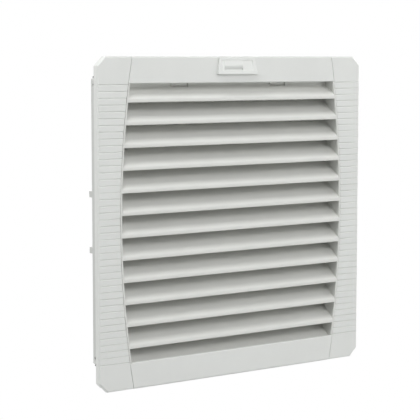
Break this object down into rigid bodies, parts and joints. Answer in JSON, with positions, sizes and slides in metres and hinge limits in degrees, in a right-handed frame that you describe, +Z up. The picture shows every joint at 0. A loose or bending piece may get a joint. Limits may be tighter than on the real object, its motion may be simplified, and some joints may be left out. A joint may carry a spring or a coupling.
{
  "type": "cabinet filter fan",
  "caption": "Square filter fan for a cabinet panel: hinged louvred cover, filter mat in a shallow tray, and an axial fan with wire guard behind.",
  "frame": {"origin": "centre of the panel cut-out, in the plane of the panel's outside face, where the gasket seats", "axes": "+Y into the cabinet, +Z up, +X to the right when seen from in front of the cabinet"},
  "size_m": [0.32, 0.1018, 0.32],
  "materials": {
    "cover_plastic": "satin moulded, light grey",
    "tray_plastic": "satin moulded, light grey",
    "gasket_foam": "foamed, dull",
    "filter_fleece": "loose white fleece",
    "guard_coating": "black powder coat",
    "bright_steel": "zinc plated",
    "cast_aluminium": "die cast",
    "motor_steel": "laminated sheet",
    "winding_copper": "varnished copper wire",
    "terminal_plastic": "moulded",
    "terminal_brass": "bright",
    "rotor_paint": "black dip paint",
    "impeller_plastic": "black, moulded",
    "clip_plastic": "dark grey, moulded"
  },
  "bodies": {
    "housing": {"housing_tray": "tray_plastic", "panel_gasket": "gasket_foam", "filter_mat": "filter_fleece", "support_grid": "tray_plastic", "fan_carrier": "tray_plastic", "guard_grille": "guard_coating", "guard_screws": "bright_steel", "motor_flange": "cast_aluminium", "motor_screws": "bright_steel", "stator_core": "motor_steel", "stator_windings": "winding_copper", "front_bearing": "bright_steel", "rear_bearing": "bright_steel", "terminal_block": "terminal_plastic", "terminal_clamps": "terminal_brass", "terminal_screws": "bright_steel", "hinge_pins": "bright_steel", "clip_pins": "bright_steel"},
    "cover": {"cover_frame": "cover_plastic", "louvre_grille": "cover_plastic", "side_trim_left": "cover_plastic", "side_trim_right": "cover_plastic", "latch_spring": "bright_steel"},
    "latch": {"latch_button": "cover_plastic", "latch_slider": "cover_plastic"},
    "rotor": {"rotor_cup": "rotor_paint", "impeller": "impeller_plastic", "rotor_shaft": "bright_steel", "retaining_ring": "bright_steel"},
    "top_left_clip": {"clip_top_left": "clip_plastic"},
    "top_right_clip": {"clip_top_right": "clip_plastic"},
    "bottom_left_clip": {"clip_bottom_left": "clip_plastic"},
    "bottom_right_clip": {"clip_bottom_right": "clip_plastic"}
  },
  "joints": [
    {"name": "cover_hinge", "type": "hinge", "parent": "housing", "child": "cover", "pos_m": [0, -0.003, -0.157], "axis": [1, 0, 0], "range_deg": [0, 90]},
    {"name": "latch_slide", "type": "slide", "parent": "cover", "child": "latch", "axis": [0, 0, -1], "range_m": [0, 0.002], "stiffness_N_per_m": 800, "springref_m": -0.001, "deforming": ["latch_spring"]},
    {"name": "fan_spin", "type": "hinge", "parent": "housing", "child": "rotor", "pos_m": [0, 0.0604, 0], "axis": [0, 1, 0], "continuous": true},
    {"name": "top_left_clip_pivot", "type": "hinge", "parent": "housing", "child": "top_left_clip", "pos_m": [-0.13874, 0.0261, 0.13874], "axis": [0.7071, 0, 0.7071], "range_deg": [0, 12], "stiffness_Nm_per_rad": 0.5, "springref_deg": -2.86},
    {"name": "top_right_clip_pivot", "type": "hinge", "parent": "housing", "child": "top_right_clip", "pos_m": [0.13874, 0.0261, 0.13874], "axis": [0.7071, 0, -0.7071], "range_deg": [0, 12], "stiffness_Nm_per_rad": 0.5, "springref_deg": -2.86},
    {"name": "bottom_left_clip_pivot", "type": "hinge", "parent": "housing", "child": "bottom_left_clip", "pos_m": [-0.13874, 0.0261, -0.13874], "axis": [-0.7071, 0, 0.7071], "range_deg": [0, 12], "stiffness_Nm_per_rad": 0.5, "springref_deg": -2.86},
    {"name": "bottom_right_clip_pivot", "type": "hinge", "parent": "housing", "child": "bottom_right_clip", "pos_m": [0.13874, 0.0261, -0.13874], "axis": [-0.7071, 0, -0.7071], "range_deg": [0, 12], "stiffness_Nm_per_rad": 0.5, "springref_deg": -2.86}
  ]
}
